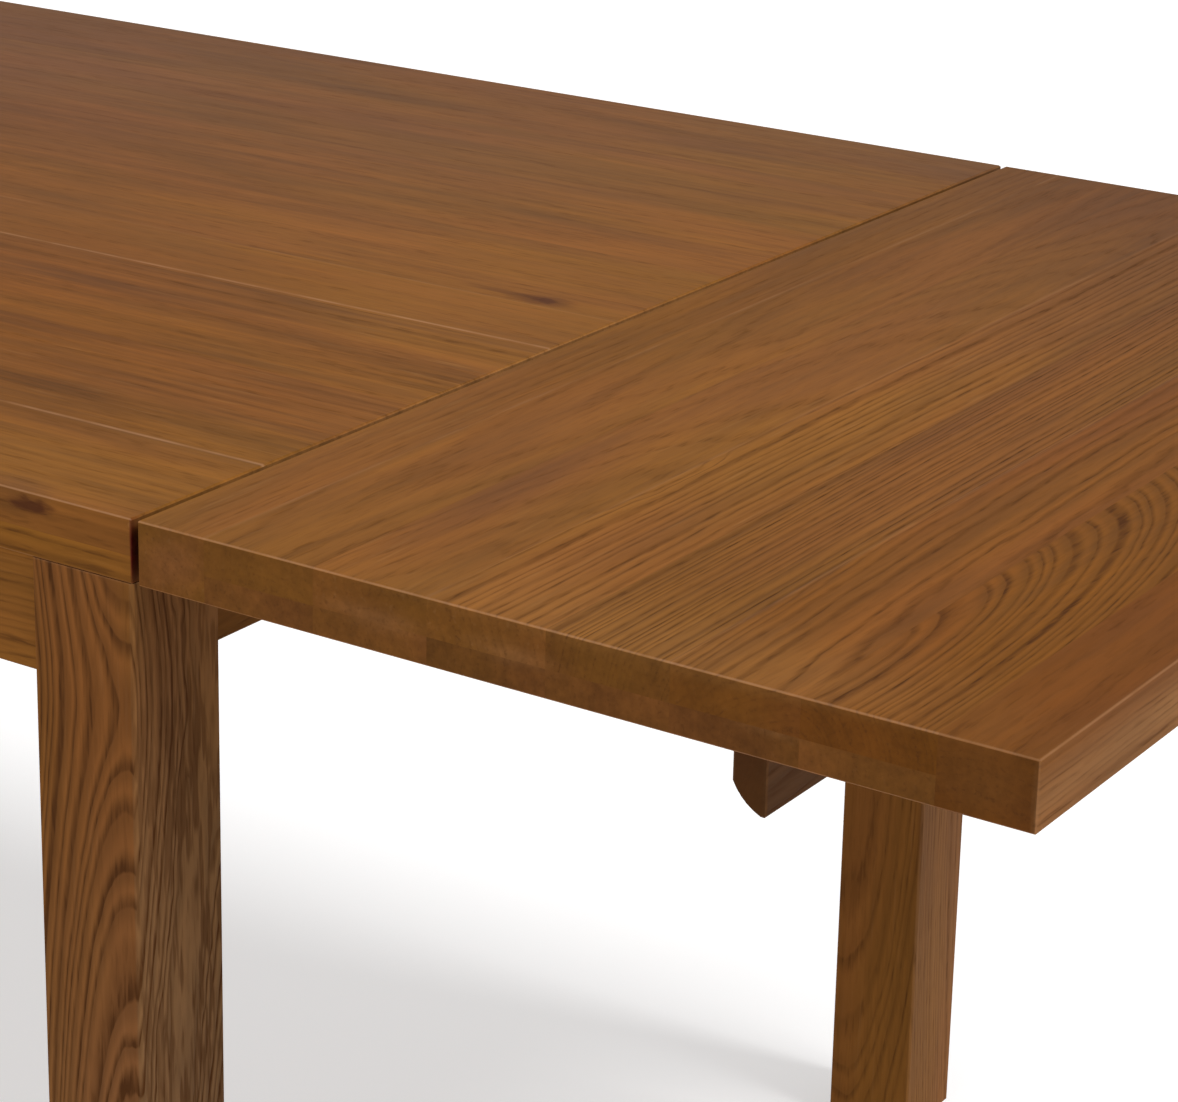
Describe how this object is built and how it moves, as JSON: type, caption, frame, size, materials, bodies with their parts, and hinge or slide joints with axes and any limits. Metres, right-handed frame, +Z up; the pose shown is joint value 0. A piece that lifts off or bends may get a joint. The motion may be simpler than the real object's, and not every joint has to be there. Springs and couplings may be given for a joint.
{
  "type": "extending dining table",
  "caption": "Oak dining table on square legs, with pull-out runner frames at both ends that carry lift-off leaves.",
  "frame": {"origin": "on the floor, under the middle of the table", "axes": "+X along the table towards the right-hand leaf, +Y across it towards the back, +Z up"},
  "size_m": [2.808, 0.95, 0.76],
  "materials": {
    "top_oak": "brown oiled oak, satin",
    "frame_oak": "brown oiled oak, satin",
    "zinc_steel": "zinc plated",
    "black_plastic": "matt"
  },
  "bodies": {
    "table": {"apron_back": "frame_oak", "apron_front": "frame_oak", "apron_left": "frame_oak", "apron_right": "frame_oak", "corner_blocks": "frame_oak", "cross_rail_left": "frame_oak", "cross_rail_right": "frame_oak", "floor_glides": "black_plastic", "hanger_bolts": "zinc_steel", "hanger_nuts": "zinc_steel", "leg_back_left": "frame_oak", "leg_back_right": "frame_oak", "leg_front_left": "frame_oak", "leg_front_right": "frame_oak", "runner_guides": "frame_oak", "top_battens": "top_oak", "top_board_1": "top_oak", "top_board_2": "top_oak", "top_board_3": "top_oak", "top_board_4": "top_oak", "top_board_5": "top_oak", "top_board_6": "top_oak", "top_board_7": "top_oak", "top_board_8": "top_oak", "top_buttons": "frame_oak", "top_strip_back": "top_oak", "top_strip_front": "top_oak", "wood_screws": "zinc_steel"},
    "runner_frame_right": {"pull_rail_right": "frame_oak", "runner_back_right": "frame_oak", "runner_front_right": "frame_oak", "tail_bar_right": "frame_oak"},
    "runner_frame_left": {"pull_rail_left": "frame_oak", "runner_back_left": "frame_oak", "runner_front_left": "frame_oak", "tail_bar_left": "frame_oak"},
    "leaf_right": {"leaf_right_batten_screws": "zinc_steel", "leaf_right_battens": "top_oak", "leaf_right_board_1": "top_oak", "leaf_right_board_2": "top_oak", "leaf_right_board_3": "top_oak", "leaf_right_board_4": "top_oak", "leaf_right_board_5": "top_oak", "leaf_right_board_6": "top_oak", "leaf_right_edge_blocks": "top_oak", "leaf_right_inner_rail": "top_oak", "leaf_right_outer_rail": "top_oak", "leaf_right_pins": "zinc_steel"},
    "leaf_left": {"leaf_left_batten_screws": "zinc_steel", "leaf_left_battens": "top_oak", "leaf_left_board_1": "top_oak", "leaf_left_board_2": "top_oak", "leaf_left_board_3": "top_oak", "leaf_left_board_4": "top_oak", "leaf_left_board_5": "top_oak", "leaf_left_board_6": "top_oak", "leaf_left_edge_blocks": "top_oak", "leaf_left_inner_rail": "top_oak", "leaf_left_outer_rail": "top_oak", "leaf_left_pins": "zinc_steel"}
  },
  "joints": [
    {"name": "runner_frame_right_draw", "type": "slide", "parent": "table", "child": "runner_frame_right", "axis": [1, 0, 0], "range_m": [-0.332, 0]},
    {"name": "runner_frame_left_draw", "type": "slide", "parent": "table", "child": "runner_frame_left", "axis": [-1, 0, 0], "range_m": [-0.332, 0]},
    {"name": "leaf_right_take_off", "type": "slide", "parent": "table", "child": "leaf_right", "axis": [1, 0, 0], "range_m": [0, 0.36]},
    {"name": "leaf_left_take_off", "type": "slide", "parent": "table", "child": "leaf_left", "axis": [-1, 0, 0], "range_m": [0, 0.36]}
  ]
}
